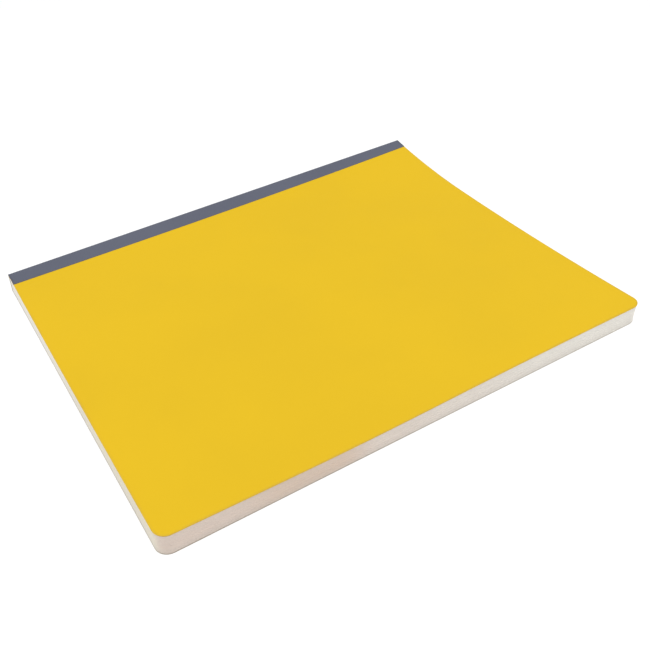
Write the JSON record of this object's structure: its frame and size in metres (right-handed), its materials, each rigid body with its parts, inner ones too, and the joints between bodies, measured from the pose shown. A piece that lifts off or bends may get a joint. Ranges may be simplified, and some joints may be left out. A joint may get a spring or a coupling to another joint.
{
  "type": "notebook",
  "caption": "Soft-cover notebook with a cloth-taped spine, rounded fore-edge corners and plain covers, lying closed.",
  "frame": {"origin": "middle of the notebook's footprint, on the surface that its back cover lies on", "axes": "+X from the spine to the fore-edge, +Y along the spine from the tail to the head, +Z out of the front cover"},
  "size_m": [0.203, 0.2546, 0.0114],
  "materials": {
    "leaves": "uncoated cream paper, trimmed edges",
    "cover_card": "matt yellow card, smooth",
    "spine_cloth": "slate grey paper cloth, matt",
    "adhesive": "dried binding adhesive"
  },
  "bodies": {
    "leaves": {"page_block": "leaves", "spine_glue": "adhesive", "spine_tape": "spine_cloth"},
    "front": {"front_cover": "cover_card"},
    "back": {"back_cover": "cover_card"}
  },
  "joints": [
    {"name": "front_cover_hinge", "type": "hinge", "parent": "leaves", "child": "front", "pos_m": [-0.1014, 0, 0.01035], "axis": [0, -1, 0], "range_deg": [0, 180], "deforming": ["spine_tape"]},
    {"name": "back_cover_hinge", "type": "hinge", "parent": "leaves", "child": "back", "pos_m": [-0.1014, 0, 0.00025], "axis": [0, 1, 0], "range_deg": [0, 180], "deforming": ["spine_tape"]}
  ]
}
